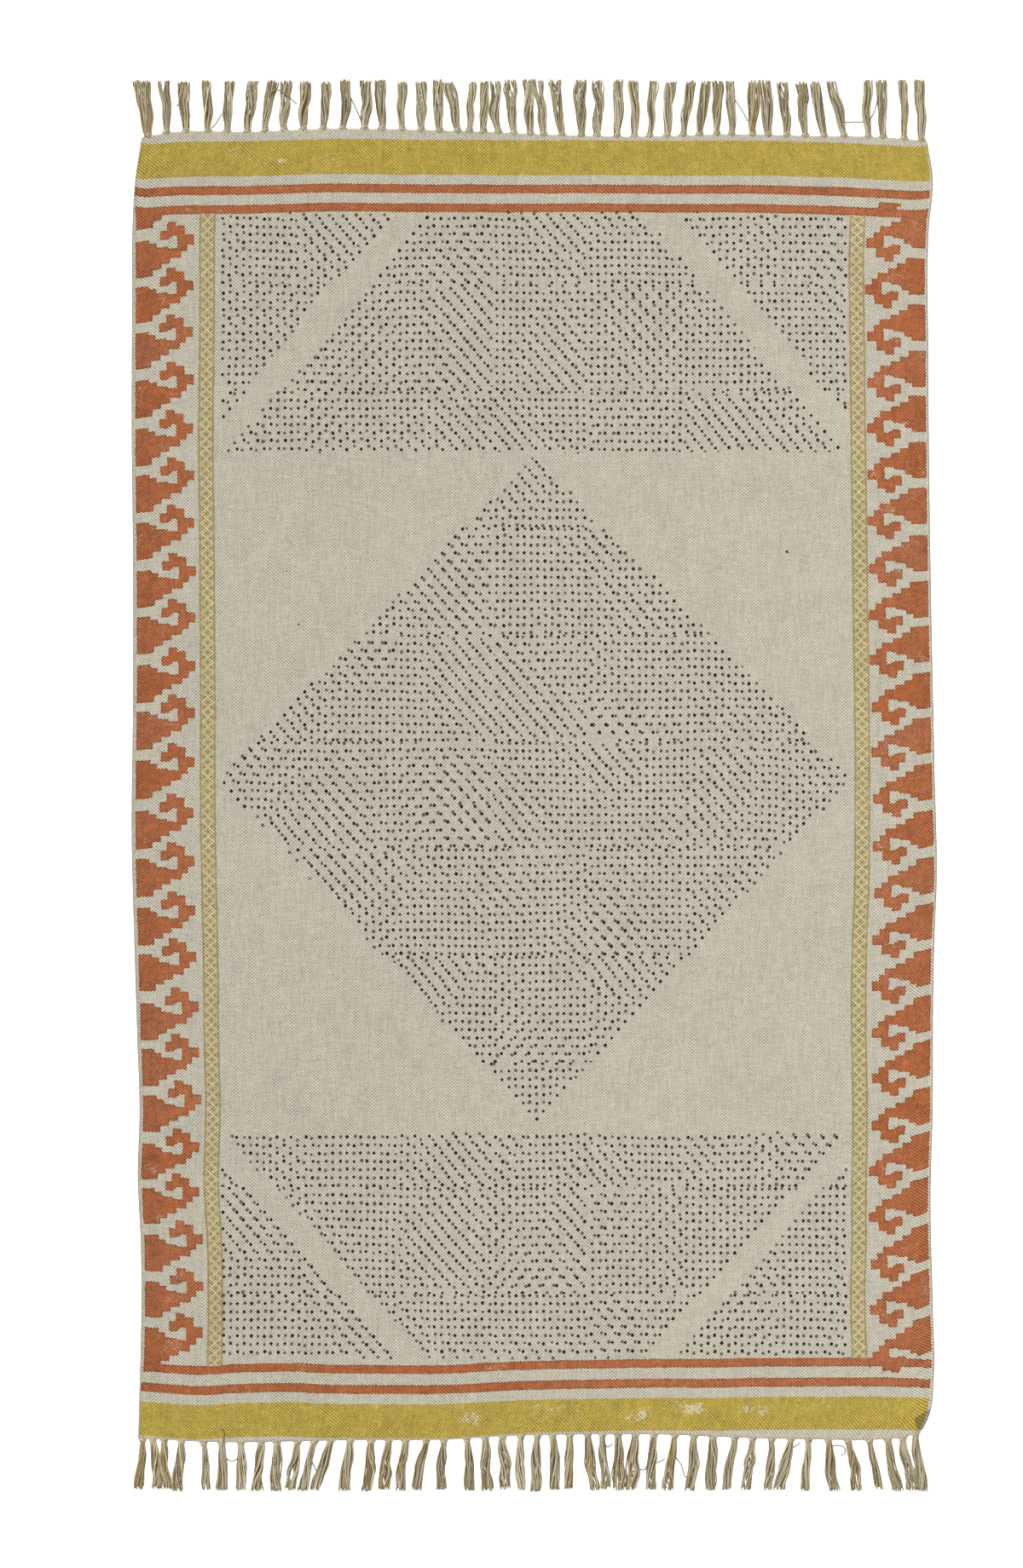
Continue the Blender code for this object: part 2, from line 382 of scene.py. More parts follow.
class Print:
    """The cloth's dyes and weave, drawn in its own flat coordinates."""

    def __init__(self):
        self.graph = g = Graph("printed_cotton")
        self.flat = g.attribute("flat_mm")
        self.u, self.v, self.face = g.split(self.flat)
        # The dots were stamped straight, whichever way the edges stray.
        self.x, self.y, _ = g.split(g.attribute("floor_mm"))
        self.from_side = WIDTH / 2 - abs(self.u)
        self.side = g.math("SIGN", self.u)
        self.right = g.ramp(self.u, -0.5, 0.5)
        self.weave()
        self.edge = (
            self.threads * 0.45
            + g.noise(self.flat, 2.2, 1, 3.1) * 0.55
            + g.noise(self.flat, 14, 1, 8.2) * 0.45
        )

    def weave(self):
        """The plain weave as two diagonal ribs, one or the other of which shows more."""
        g = self.graph
        across, along = 2 * math.pi / WEAVE_ACROSS, 2 * math.pi / WEAVE_ALONG
        waver = g.noise(self.flat, 45, 1, 1.7)
        waver_2 = g.noise(self.flat, 60, 1, 5.3)
        a = (self.u + waver * 1.3) * across
        b = (self.v + waver_2 * 1.6) * along
        rising, falling = g.math("COSINE", a - b), g.math("COSINE", a + b)
        leaning = g.ramp(g.noise(self.flat, 60, 1, 4.4), -0.6, 1.0) * 0.5 + 0.2
        self.threads = rising * leaning + falling * (1.0 - leaning)
        # Thick and thin stretches of the wefts and of the warps.
        wefts = g.noise(g.vector(self.u / 16, self.v / 1.5), 1, 1, 2.2)
        warps = g.noise(g.vector(self.u / 1.6, self.v / 18), 1, 1, 6.5)
        self.slub = wefts * 0.5 + warps * 0.5
        self.grit = g.noise(self.flat, 1.3, 1, 9.9)

    def ink(self, distance, blur=0.45):
        """How much dye there is, from the signed distance to the shape's edge."""
        return self.graph.ramp(distance + self.edge, blur, -blur)

    def band(self, value, low, high):
        """The signed distance to the stretch between low and high."""
        return abs(value - (low + high) / 2) - (high - low) / 2

    def end_bands(self):
        """Signed distances to the mustard bands and the stripes, and to the fields' ends."""
        g = self.graph
        far = self.v - g.curve(self.u, FAR_BOW)
        near = self.v - g.curve(self.u, NEAR_BOW)
        # Above zero in the strip that the printer left bare along the selvedge.
        left, right = g.curve(self.v, LEFT_STRIP), g.curve(self.v, RIGHT_STRIP)
        self.across = left + (right - left) * self.right - self.from_side
        low, high = NEAR_MUSTARD
        low = g.ramp(self.u, -60.0, 40.0) * NEAR_MUSTARD_LIFT + low
        mustard = g.least(self.band(far, *FAR_MUSTARD), self.band(near, low, high))
        stripes = g.least(
            *(self.band(far, *row) for row in STRIPES[:2]),
            *(self.band(near, *row) for row in STRIPES[2:]),
        )
        self.mustard = g.most(mustard, self.across)
        self.stripes = g.most(stripes, self.across)
        self.field = g.most(far - HOOK_ENDS[0], HOOK_ENDS[1] - near)
        self.lattice_field = g.most(far - LATTICE_ENDS[0], LATTICE_ENDS[1] - near)

    def hooks(self):
        """The signed distance to the hooks, and a number for each hook."""
        g = self.graph
        t = self.v * self.side * -1.0
        left = g.curve(t, LEFT_HOOKS)
        right = (t - RIGHT_HOOK_START) / RIGHT_HOOK_PITCH
        count = left + (right - left) * self.right
        s = HOOK_BASE - abs(self.u)
        # A hook's knob leans over the next hook's base, so their parting line leans too.
        lean = g.least(g.most((s - 14.0) * 0.66, 0.0), 16.0) - 5.9
        along = count * HOOK_PITCH
        number = g.math("FLOOR", (along - lean) / HOOK_PITCH)
        luck = g.chance(number, self.side, 0.3)
        t = along - number * HOOK_PITCH + (luck[0] - 0.5) * 2.4
        t = t + g.noise(self.flat, 9, 1, 7.7) * 0.7
        s = s + (luck[1] - 0.5) * 2.6 + g.noise(self.flat, 9, 1, 2.9) * 0.7
        shape = None
        for box in HOOK:
            across, over = self.band(s, box.inner, box.outer), self.band(t, box.low, box.high)
            inside = g.math("SMOOTH_MAX", across, over, 1.6)
            shape = inside if shape is None else g.math("SMOOTH_MIN", shape, inside, 1.2)
        # No knob rises from behind the inner stripe at the near left.
        shape = g.ramp(number, -1.4, -1.6) * (1.0 - self.right) * 40.0 + shape
        # The last hook's knob at the near right pokes past the inner stripe.
        knob = g.ramp(s, 29.0, 30.0) * self.right * 12.0
        self.hook = g.most(shape, self.field - knob, self.across)
        self.hook_luck = luck[2]
        # The block held more dye at the hooks' bases, most of all on the left.
        self.loaded = g.ramp(s, 40.0, 5.0) * (self.right * -0.08 + 0.13) - 0.05

    def lattice(self):
        """The lattice bands: how far a point is from the band and from its edge lines, and
        how much of the cream lattice and of the small dots in it there is."""
        g = self.graph
        left = g.curve(self.v, LEFT_LATTICE)
        right = g.curve(self.v, RIGHT_LATTICE)
        middle = left + (right - left) * self.right
        w = abs(self.u) - middle
        inside = g.most(abs(w) - LATTICE_HALF, self.lattice_field)
        lines = g.most(abs(abs(w) - LATTICE_LINE) - LATTICE_LINE_HALF, self.lattice_field)
        v = self.v / LATTICE_PITCH

        def zigzag(x):
            return abs(g.math("FRACT", x) - 0.5)

        # Cream lines cross on the diagonal, and small dots lie between them.
        slant = w / LATTICE_REACH * 0.5
        crossing = g.least(zigzag(v + slant + 0.5), zigzag(v - slant + 0.5))
        cream = g.ramp(crossing * LATTICE_PITCH + self.edge * 0.5, 1.25, 0.35)

        def spots(x, y):
            """Distance to spots one pitch apart along v."""
            dy = (g.math("FRACT", y) - 0.5) * LATTICE_PITCH
            return g.math("SQRT", x * x + dy * dy * 0.8)

        dots = g.least(spots(w, v), spots(abs(w) - 3.9, v + 0.5))
        dots = g.ramp(dots + self.edge * 0.6, 2.1, 0.9)
        return inside, lines, cream, dots

    def region(self, x, y):
        """Above zero where a dot's middle may lie: two trapeziums, four corners, a diamond."""
        g = self.graph
        out = abs(x - FIELD_MIDDLE)

        def reach(side):
            return (side.along - y) * side.slope + side.out

        far = g.least(y - FAR_FIELD_START, reach(FAR_FIELD) - out)
        far_corner = g.least(y - CORNER_START, out - reach(FAR_CORNER))
        near = g.least(NEAR_FIELD_START - y, reach(NEAR_FIELD) - out)
        near_corner = g.least(-CORNER_START - y, out - reach(NEAR_CORNER))
        up = y - DIAMOND_MIDDLE
        diamond = 1.0 - g.most(up / DIAMOND_FAR, up / -DIAMOND_NEAR) - out / DIAMOND_HALF
        shape = g.most(far, far_corner, near, near_corner, diamond * DIAMOND_HALF)
        room = g.least(FIELD_HALF - out, FIELD_FAR - y, y - FIELD_NEAR)
        return g.least(shape, room)

    def dots(self, seed, stray, jitter, turn, radius, blot):
        """How much of one of the two dot dyes there is.

        stray is how far this set lies from the other, and how far that drifts; jitter and
        turn are how far a block misses its place and its angle; a dot's radius grows by up
        to blot.
        """
        g = self.graph
        # The diamond's blocks and the end fields' blocks start at different places.
        (far, far_shift), (near, near_shift) = STAMP_SHIFTS
        phase = g.math("GREATER_THAN", self.y, far) * far_shift
        phase = g.math("LESS_THAN", self.y, near) * near_shift + phase
        x = (self.x - STAMP_CORNER[0]) / STAMP[0]
        y = (self.y - STAMP_CORNER[1] - phase) / STAMP[1]
        column, row = g.math("FLOOR", x), g.math("FLOOR", y)
        place_x = (x - column - 0.5) * STAMP[0]
        place_y = (y - row - 0.5) * STAMP[1]
        luck = g.chance(column, row, seed)
        floor = g.vector(self.x, self.y)
        off_x = g.noise(floor, 150, 0, seed) * stray[1] + stray[0] + (luck[1] - 0.5) * jitter
        off_y = g.noise(floor, 150, 0, seed + 3.0) * stray[1] + (luck[0] - 0.5) * jitter
        angle = (luck[2] - 0.5) * turn
        block_x = place_x + off_x + place_y * angle
        block_y = place_y + off_y - place_x * angle
        found = None
        for half in (-0.25, 0.25):
            i = g.math("ROUND", block_x / DOT_PITCH[0] - half)
            j = g.math("ROUND", block_y / DOT_PITCH[1] - half)
            dot_x, dot_y = (i + half) * DOT_PITCH[0], (j + half) * DOT_PITCH[1]
            own = g.chance(i + column * 7.0, j + row * 7.0, seed + half)
            dx = block_x - dot_x + (own[0] - 0.5) * 1.1
            dy = block_y - dot_y + (own[1] - 0.5) * 1.1
            size = own[2] * blot + radius
            away = g.math("SQRT", dx * dx + dy * dy * 0.85)
            # The dot's middle, back on the cloth, decides whether it was printed.
            kept = self.region(self.x - dx, self.y - dy)
            edge_x = STAMP[0] / 2 - abs(place_x - dx) - radius / 2
            edge_y = STAMP[1] / 2 - abs(place_y - dy) - radius / 2
            kept = g.math("GREATER_THAN", g.least(kept, edge_x, edge_y), 0.0)
            dye = g.ramp(away + self.edge * 0.3, size + 0.35, size - 0.35) * kept
            found = dye if found is None else g.most(found, dye)
        return found

    def wear(self):
        """Places where the mustard missed the cloth, and patches of thin dye."""
        g = self.graph
        where = None
        for u, v, long, high, much in MISSES:
            near = g.most(abs(self.u - u) / long, abs(self.v - v) / high)
            here = g.ramp(near, 1.5, 0.2) * much
            where = here if where is None else g.most(where, here)
        specks = g.noise(self.flat, 2.7, 1, 12.5) + g.noise(self.flat, 15, 0, 3.9) * 0.5
        self.missed = g.ramp(specks + where * 1.9, 1.65, 2.1)
        patchy = g.noise(self.flat, 26, 2, 15.1)
        self.thin = g.ramp(patchy + self.grit * 0.35, 0.25, 1.3)
        self.fleck = g.ramp(self.grit * 0.9 + patchy * 1.2, 0.85, 1.45)
        uneven = g.noise(self.flat, 3.2, 2, 30.5) * 0.3 + g.noise(self.flat, 13, 1, 33.1) * 0.16
        self.uneven = uneven - self.threads * 0.12

    def with_terracotta(self, colour):
        """The side borders and the stripes."""
        g = self.graph
        shape = g.least(self.hook, self.stripes)
        dye = self.ink(shape)
        rim = g.ramp(shape + self.edge, -1.9, -0.5) * g.ramp(shape, 0.8, 0.2)
        strength = 1.0 - self.thin * 0.17 - self.fleck * 0.6
        strength = strength - self.hook_luck * 0.05 + rim * 0.1
        colour = g.mix(g.least(dye * strength, 1.0), colour, TERRACOTTA)
        return g.tinted(colour, 1.0 - dye * (rim * 0.22 + self.uneven + self.loaded))

    def with_lattice(self, colour):
        g = self.graph
        inside, lines, cream, dots = self.lattice()
        band = g.mix(dots * 0.85, g.mix(cream * 0.85, LATTICE, CREAM), LATTICE_DARK)
        band = g.mix(self.ink(lines, 0.6) * 0.75, band, LATTICE_DARK)
        return g.mix(self.ink(inside), colour, band)

    def with_mustard(self, colour):
        g = self.graph
        dye = self.ink(self.mustard)
        rim = g.ramp(self.mustard + self.edge, -1.8, -0.4)
        strength = (1.0 - self.thin * 0.06) * (1.0 - self.missed * 0.85)
        colour = g.mix(self.missed * dye * 0.7, colour, CREAM)
        colour = g.mix(dye * strength, colour, MUSTARD)
        return g.tinted(colour, 1.0 - dye * (rim * 0.05 + self.uneven * 0.7))

    def with_dots(self, colour):
        """The two sets of dots, and the stray spots."""
        g = self.graph
        grey = self.dots(5.5, (7.4, 5.0), 3.4, 0.07, 1.52, 0.6)
        black = self.dots(1.5, (0.0, 0.0), 2.4, 0.03, 1.58, 0.45)
        patchy_dot = 0.84 + self.grit * 0.2 + self.threads * 0.1
        colour = g.mix(grey * g.least(patchy_dot, 1.0), colour, GREY_GREEN)
        colour = g.mix(black * 0.99, colour, BLACK)
        for x, y, radius, dark in SPOTS:
            away_x, away_y = self.x - x, self.y - y
            away = g.math("SQRT", away_x * away_x + away_y * away_y)
            colour = g.mix(g.ramp(away, radius + 0.5, radius - 0.5) * dark, colour, BLACK)
        return colour

    def selvedge(self):
        """How much the selvedge changes the colour: painted shade darkens its outer yarn, and a
        painted highlight lightens the next one."""
        g = self.graph
        outer = g.ramp(abs(self.from_side - 0.9), 1.3, 0.3)
        inner = g.ramp(abs(self.from_side - 3.0), 1.2, 0.3)
        return 1.0 - outer * 0.28 + inner * 0.08

    def painted_fold_shade(self):
        """How near a point is to the short fold in the near right corner, where painted shade
        draws a dark line.
        """
        g = self.graph
        over, along = self.x - FOLD_START[0], self.y - FOLD_START[1]
        beside = abs(over * FOLD_WAY[1] - along * FOLD_WAY[0])
        past = over * FOLD_WAY[0] + along * FOLD_WAY[1] - FOLD_LENGTH
        return g.ramp(beside + g.most(past, along), 2.2, 0.4)

    def build(self):
        g = self.graph
        self.end_bands()
        self.hooks()
        self.wear()
        colour = GROUND
        colour = self.with_terracotta(colour)
        colour = self.with_lattice(colour)
        colour = self.with_mustard(colour)
        # Painted shade and highlight along the selvedge.
        colour = g.tinted(colour, self.selvedge())
        colour = self.with_dots(colour)
        # Painted shade along the fold in the near right corner.
        colour = g.tinted(colour, 1.0 - self.painted_fold_shade() * 0.5)
        # The underside shows the dyes faintly, through the cloth.
        below = g.mix(0.22, GROUND, colour)
        colour = g.mix(g.ramp(self.face, 0.3, 0.7), below, colour)

        # Painted shade between the threads of the weave, with uneven tone from slubs, grit and
        # slow noise.
        tone_and_painted_light = 1.0 + self.threads * 0.4 + self.slub * 0.26 + self.grit * 0.23
        tone_and_painted_light = tone_and_painted_light + g.noise(self.flat, 170, 2, 21.0) * 0.03
        tone_and_painted_light = tone_and_painted_light + g.noise(self.flat, 30, 2, 17.0) * 0.035
        # The photo is a little lighter on its right.
        # Painted light: the colour grows a little lighter towards the right.
        tone_and_painted_light = tone_and_painted_light + self.u * 0.00009
        height = self.threads * 0.5 + self.slub * 0.25 + self.grit * 0.15
        normal = g.bump(height, 0.45 * MM)
        return g.cotton(g.tinted(colour, tone_and_painted_light), 0.88 + self.grit * 0.05, 0.2, 0.12, normal)


# -------- the cloth


def top_outline(node):
    """The edge of a flat CAD node's upper face, anticlockwise, in millimetres."""
    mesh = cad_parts[node].data
    places = [tuple(np.round(np.array(v.co) / MM, 3)) for v in mesh.vertices]
    top = max(place[2] for place in places)
    sides = set()
    for face in mesh.polygons:
        corners = [places[i] for i in face.vertices]
        if min(corner[2] for corner in corners) > top - 0.1:
            sides |= set(zip(corners, corners[1:] + corners[:1]))
    follows = {a: b for a, b in sides if (b, a) not in sides}
    outline = [min(follows)]
    while follows[outline[-1]] != outline[0]:
        outline.append(follows[outline[-1]])
    return np.array(outline)[:, :2]


class Cloth:
    """The cloth's flat shape: its four edges, and where a point between them lies."""

    def __init__(self):
        outline = top_outline("rug_cloth")
        low, high = outline.min(0), outline.max(0)
        box = [(low[0], low[1]), (high[0], low[1]), (high[0], high[1]), (low[0], high[1])]
        a, b, c, d = [int(np.argmin(np.hypot(*(outline - corner).T))) for corner in box]
        n = len(outline)

        def run(start, end):
            return outline[[i % n for i in range(start, end + 1 + n * (end < start))]]

        self.near, self.right = run(a, b), run(b, c)
        self.far, self.left = run(c, d)[::-1], run(d, a)[::-1]

    @staticmethod
    def along(edge, share, axis):
        """Points on an edge at a share of its length, measured on that axis."""
        places = edge[0, axis] + share * (edge[-1, axis] - edge[0, axis])
        other = np.interp(places, edge[:, axis], edge[:, 1 - axis])
        pair = (places, other) if axis == 0 else (other, places)
        return np.stack(pair, -1)

    def point(self, s, t):
        """Floor points in mm, from shares across and along."""
        near, far = self.along(self.near, s, 0), self.along(self.far, s, 0)
        left, right = self.along(self.left, t, 1), self.along(self.right, t, 1)
        s, t = s[..., None], t[..., None]
        ends = (1 - t) * near + t * far
        sides = (1 - s) * left + s * right
        low = (1 - s) * self.near[0] + s * self.near[-1]
        high = (1 - s) * self.far[0] + s * self.far[-1]
        return ends + sides - (1 - t) * low - t * high


# Soft creases as lines of points on the floor, in mm, each with a depth and half width.
Crease = namedtuple("Crease", "depth width points")
CREASES = [
    Crease(-0.75, 9, [(-58, -40), (-92, -66), (-123, -93), (-172, -166), (-196, -206)]),
    Crease(-0.6, 10, [(-172, -239), (-180, -296), (-202, -334), (-229, -361), (-286, -381)]),
    Crease(0.7, 13, [(-42, -60), (-72, -100), (-107, -142), (-148, -206), (-176, -268)]),
    Crease(0.6, 12, [(-176, -268), (-187, -312), (-213, -361)]),
    Crease(-0.5, 9, [(-58, 102), (-88, 70), (-123, 38)]),
    Crease(-0.5, 12, [(275, 574), (318, 500), (348, 435), (413, 411)]),
    Crease(0.4, 8, [(18, 703), (18, 610), (17, 528)]),
    Crease(0.4, 8, [(18, 248), (19, 190), (18, 135)]),
    Crease(-0.35, 8, [(47, -76), (48, -158)]),
]


def crease_height(x, y):
    """How far the creases lift or sink the cloth, in mm."""
    height = np.zeros_like(x)
    for crease in CREASES:
        points = np.array(crease.points, float)
        total = np.linalg.norm(np.diff(points, axis=0), axis=1).sum()
        nearest = np.full_like(x, 1e9)
        place = np.zeros_like(x)
        passed = 0.0
        for a, b in zip(points[:-1], points[1:]):
            step = b - a
            length = np.linalg.norm(step)
            share = ((x - a[0]) * step[0] + (y - a[1]) * step[1]) / length**2
            share = share.clip(0, 1)
            away = np.hypot(x - a[0] - share * step[0], y - a[1] - share * step[1])
            closer = away < nearest
            nearest = np.where(closer, away, nearest)
            place = np.where(closer, passed + share * length, place)
            passed += length
        fade = np.sin(np.pi * (0.12 + 0.76 * place / total))
        height += crease.depth * fade * np.exp(-((nearest / crease.width) ** 2))
    return height


def swell(x, y):
    """The slow unevenness of a cloth that was rolled, in mm."""
    waves = [(310, 0.4, 0.3), (190, 1.9, 1.2), (420, 2.6, 4.0), (145, 1.2, 2.2), (95, 2.9, 5.1)]
    height = np.zeros_like(x)
    for length, turn, phase in waves:
        along = x * math.cos(turn) + y * math.sin(turn)
        height += length / 420 * np.sin(2 * np.pi * along / length + phase)
    return height * 0.16


def spread(length, edge, step):
    """Shares from 0 to 1, close together near both ends."""
    inner = np.linspace(edge[-1], length - edge[-1], round((length - 2 * edge[-1]) / step) + 1)
    places = np.concatenate([edge[:-1], inner, length - np.array(edge[:-1])[::-1]])
    return places / length


def add_piece(name, vertices, faces, material, vectors):
    """A smooth mesh piece from points in mm and faces, with its named vector attributes."""
    mesh = bpy.data.meshes.new(name)
    mesh.from_pydata((vertices * MM).tolist(), [], faces)
    for key, values in vectors.items():
        attribute = mesh.attributes.new(key, "FLOAT_VECTOR", "POINT")
        attribute.data.foreach_set("vector", values.astype(np.float32).ravel())
    mesh.polygons.foreach_set("use_smooth", [True] * len(mesh.polygons))
    mesh.materials.append(material)
    piece = bpy.data.objects.new(name, mesh)
    bpy.context.scene.collection.objects.link(piece)
    return piece


GRID = 6.5  # mm between the cloth's mesh lines, away from its edges
SIDE_LINES = [0, 0.35, 1.0, 1.9, 2.8, 3.6, 4.6, 6.5]  # mesh lines near a side, in from it
END_LINES = [0, 0.35, 1.0, 2.0, 4.0]
REST_HEIGHT = 0.55  # how high the middling place lies, over a floor that isn't quite even
EDGE_ROUND = 1.25


def cloth_piece(cloth, material):
    """The cloth as one closed sheet: an upper face, and a lower one inside its edge."""
    s, t = np.meshgrid(spread(WIDTH, SIDE_LINES, GRID), spread(LENGTH, END_LINES, GRID))
    rows, columns = s.shape
    floor = cloth.point(s, t)
    x, y = floor[..., 0], floor[..., 1]
    u, v = (s - 0.5) * WIDTH, (t - 0.5) * LENGTH
    from_side = WIDTH / 2 - abs(u)
    inward = np.minimum(from_side, LENGTH / 2 - abs(v))
    lift = (REST_HEIGHT + swell(x, y) + crease_height(x, y)).clip(0, None)
    # A woven cord runs along each selvedge, inside it a shallow groove.
    cord = 0.45 * np.exp(-(((from_side - 1.7) / 1.3) ** 2))
    cord -= 0.35 * np.exp(-(((from_side - 4.2) / 0.8) ** 2))
    round_off = np.sqrt(1 - (1 - (inward / EDGE_ROUND).clip(0, 1)) ** 2)
    half = (THICK / 2 + cord / 2) * round_off
    middle = lift + THICK / 2 + cord / 2

    def both_faces(upper, lower):
        """The upper face's points, then the lower face's without its edge."""
        upper, lower = np.stack(upper, -1), np.stack(lower, -1)[1:-1, 1:-1]
        width = upper.shape[-1]
        return np.concatenate([upper.reshape(-1, width), lower.reshape(-1, width)])

    vertices = both_faces((x, y, middle + half), (x, y, (middle - half).clip(LOWEST, None)))
    flat = both_faces((u, v, np.ones_like(u)), (u, v, np.zeros_like(u)))

    over = np.arange(rows * columns).reshape(rows, columns)
    under = over.copy()
    under[1:-1, 1:-1] = np.arange(rows * columns, len(vertices)).reshape(rows - 2, columns - 2)

    def quads(index):
        corners = [index[:-1, :-1], index[:-1, 1:], index[1:, 1:], index[1:, :-1]]
        return np.stack(corners, -1).reshape(-1, 4)

    faces = np.concatenate([quads(over), quads(under)[:, ::-1]])
    vectors = {"flat_mm": flat, "floor_mm": vertices}
    piece = add_piece("printed_cloth", vertices, faces.tolist(), material, vectors)
    # The map that a bake uses: the upper face nearly fills it, the underside has a strip.
    chart = both_faces((s, t), (s, t))[faces.ravel()]
    lower = np.repeat(np.arange(len(faces)) >= len(faces) // 2, 4)
    chart[:, 0] = np.where(lower, 0.89 + 0.108 * chart[:, 0], 0.002 + 0.88 * chart[:, 0])
    chart[:, 1] = 0.002 + 0.996 * chart[:, 1]
    layer = piece.data.uv_layers.new(name="OFBake")
    layer.uv.foreach_set("vector", chart.astype(np.float32).ravel())
    return piece


# -------- the fringes

YARN = rgb(0.37, 0.30, 0.16)
YARN_PALE = rgb(0.76, 0.68, 0.47)
YARN_OCHRE = rgb(0.42, 0.27, 0.06)
YARN_SHADOW = rgb(0.10, 0.066, 0.022)


def yarn_material():
    """Loosely spun cotton; the attributes say where on a yarn a point is, its dye, and how much
    painted shade it gets.
    """
    g = Graph("fringe_cotton")
    along, around, shade = g.split(g.attribute("yarn"))
    dyed, painted_shade, _ = g.split(g.attribute("yarn_dye_and_shade"))
    place = g.vector(along * 0.35, around * 3.0, shade * 91.0)
    stain = g.noise(g.vector(along, shade * 57.0), 14, 1, 3.5)
    colour = g.mix(shade, YARN, YARN_PALE)
    colour = g.mix(g.ramp(dyed + stain * 0.3, 0.15, 0.85), colour, YARN_OCHRE)
    # Painted shade: the lower half of each yarn, and the deeper ones, are darkened towards
    # YARN_SHADOW, where yarns shade one another.
    up = g.math("SINE", around * (2 * math.pi))
    painted_shade_share = g.most(g.ramp(up, 0.85, 0.05), painted_shade)
    colour = g.mix(painted_shade_share * 0.88, colour, YARN_SHADOW)
    ply = g.math("SINE", along * 2.6 + around * (2 * math.pi) + shade * 80.0)
    fuzz = g.noise(place, 1.1, 2, 0.5)
    # Painted shade along the ply's twist, with uneven tone from the fuzz.
    tone_and_painted_light = 0.95 + ply * 0.07 + fuzz * 0.2
    normal = g.bump(ply * 0.6 + fuzz * 0.4, 0.25 * MM)
    return g.cotton(g.tinted(colour, tone_and_painted_light), 0.9 + fuzz * 0.05, 0.15, 0.15, normal)


class Tubes:
    """Many closed tubes in one mesh."""

    SIDES = 6

    def __init__(self):
        self.vertices, self.faces, self.yarn, self.dye, self.count = [], [], [], [], 0

    def add(self, path, radius, shade, dyed=0.0, painted_shade=0.0):
        """A tube along a path in mm; radius and painted_shade may have a value for each point.
        """
        n, sides = len(path), self.SIDES
        radius, painted_shade = np.broadcast_to(radius, n), np.broadcast_to(painted_shade, n)
        ahead = np.gradient(path, axis=0)
        ahead /= np.linalg.norm(ahead, axis=1)[:, None]
        beside = np.cross(ahead, (0, 0, 1.0))
        beside /= np.linalg.norm(beside, axis=1)[:, None] + 1e-9
        above = np.cross(beside, ahead)
        angle = np.arange(sides) / sides * 2 * np.pi
        ring = np.cos(angle)[None, :, None] * beside[:, None]
        ring = ring + np.sin(angle)[None, :, None] * above[:, None]
        points = path[:, None] + radius[:, None, None] * ring
        bulge = ahead[[0, -1]] * radius[[0, -1], None] * 0.6
        tips = path[[0, -1]] + bulge * ((-1,), (1,))
        vertices = np.concatenate([points.reshape(-1, 3), tips])
        vertices[:, 2] = vertices[:, 2].clip(LOWEST, None)
        self.vertices.append(vertices)

        index = self.count + np.arange(n * sides).reshape(n, sides)
        turned = np.roll(index, -1, axis=1)
        quads = np.stack([index[:-1], turned[:-1], turned[1:], index[1:]], -1)
        self.faces.append(quads.reshape(-1, 4))
        first, last = self.count + n * sides, self.count + n * sides + 1
        for one, other, tip in ((turned[0], index[0], first), (index[-1], turned[-1], last)):
            tip = np.full(sides, tip)
            self.faces.append(np.stack([one, other, tip, tip], -1))
        self.count += len(vertices)

        length = np.append(0, np.cumsum(np.linalg.norm(np.diff(path, axis=0), axis=1)))
        around = angle / (2 * np.pi)
        yarn = np.stack(np.broadcast_arrays(length[:, None], around, shade), -1)
        # The dye vectors carry the ochre dye and the painted shade.
        dye = np.stack(np.broadcast_arrays(dyed, painted_shade[:, None], around * 0), -1)
        for known, values in ((self.yarn, yarn), (self.dye, dye)):
            known += [values.reshape(-1, 3), values[[0, -1], 0]]

    def piece(self, name, material):
        """The tubes as one piece; a cap's faces are triangles."""
        faces = np.concatenate(self.faces).tolist()
        faces = [face if face[2] != face[3] else face[:3] for face in faces]
        vectors = {"yarn": np.concatenate(self.yarn), "yarn_dye_and_shade": np.concatenate(self.dye)}
        return add_piece(name, np.concatenate(self.vertices), faces, material, vectors)


Tassel = namedtuple("Tassel", "root tip")


def tassels(node):
    """Each tassel's root and tip, in mm, from the CAD comb's outline."""
    side = -1 if "near" in node else 1
    outline = top_outline(node) * side
    high = outline[:, 1].max()
    n = len(outline)
    found = []
    for i in range(n):
        here, after = outline[i], outline[(i + 1) % n]
        # A tooth ends in one of the outline's short outermost sides.
        if min(here[1], after[1]) > high - 4:
            feet = outline[(i - 2) % n], outline[(i + 3) % n]
            found.append(Tassel(np.mean(feet, axis=0) * side, (here + after) / 2 * side))
    return sorted(found, key=lambda tassel: tassel.root[0])


def wander(rng, n, size, turns):
    """A smooth random walk about zero."""
    total = np.zeros(n)
    place = np.linspace(0, 1, n)
    for k in range(1, turns + 1):
        total += rng.uniform(-1, 1) * np.sin(2 * np.pi * (k * 0.5 * place + rng.random())) / k
    return total * size


def smooth_route(points, step=1.6):
    """A smooth line through given points."""
    points = np.array(points, float)
    ends = 2 * points[0] - points[1], 2 * points[-1] - points[-2]
    knots = np.concatenate([[ends[0]], points, [ends[1]]])
    parts = []
    for a, b, c, d in zip(knots, knots[1:], knots[2:], knots[3:]):
        count = max(2, round(np.linalg.norm(c - b) / step))
        t = (np.arange(count) / count)[:, None]
        bend = (2 * a - 5 * b + 4 * c - d) * t**2 + (3 * b - a - 3 * c + d) * t**3
        parts.append(b + ((c - a) * t + bend) / 2)
    return np.concatenate([*parts, points[-1:]])


